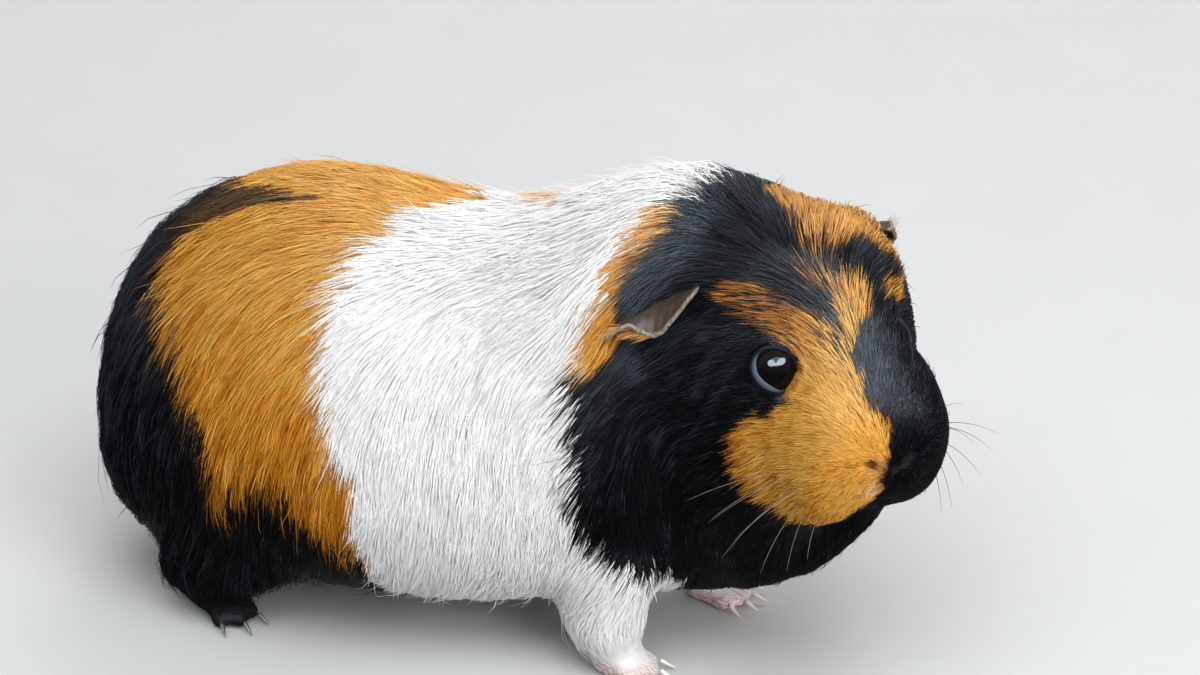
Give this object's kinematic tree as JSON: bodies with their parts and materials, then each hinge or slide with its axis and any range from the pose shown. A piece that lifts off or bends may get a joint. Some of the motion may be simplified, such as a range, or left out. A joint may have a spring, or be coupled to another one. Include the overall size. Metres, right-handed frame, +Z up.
{
  "type": "guinea pig",
  "caption": "Life-size guinea pig standing still on its feet, head turned to its right, with a rosette on the crown, drooping ears and a short smooth coat in patches.",
  "frame": {"origin": "middle of the model's box, at floor level, under the loins", "axes": "+X from the rump to the shoulders, +Y to the animal's left, +Z up"},
  "size_m": [0.2116, 0.1018, 0.1173],
  "materials": {
    "coat_black": "short glossy hair",
    "coat_white": "short glossy hair",
    "coat_orange": "short glossy hair",
    "bare_skin": "soft bare skin",
    "dark_skin": "soft bare dark skin",
    "ear": "thin skin with fine down",
    "eye": "wet, mirror smooth",
    "claw": "smooth horn",
    "dark_claw": "smooth dark horn"
  },
  "bodies": {
    "root": {"trunk": "coat_white", "neck": "coat_white", "head": "coat_black", "muzzle": "coat_orange", "eye_right": "eye", "eye_left": "eye", "ear_right": "ear", "ear_left": "ear", "leg_front_right": "coat_white", "paw_front_right": "bare_skin", "leg_front_left": "coat_white", "paw_front_left": "bare_skin", "leg_hind_right": "coat_black", "paw_hind_right": "dark_skin", "leg_hind_left": "coat_black", "paw_hind_left": "dark_skin", "claw_front_right_1": "claw", "claw_front_right_2": "claw", "claw_front_right_3": "claw", "claw_front_right_4": "claw", "claw_front_left_1": "claw", "claw_front_left_2": "claw", "claw_front_left_3": "claw", "claw_front_left_4": "claw", "claw_hind_right_1": "dark_claw", "claw_hind_right_2": "dark_claw", "claw_hind_right_3": "dark_claw", "claw_hind_left_1": "dark_claw", "claw_hind_left_2": "dark_claw", "claw_hind_left_3": "dark_claw"}
  },
  "joints": []
}
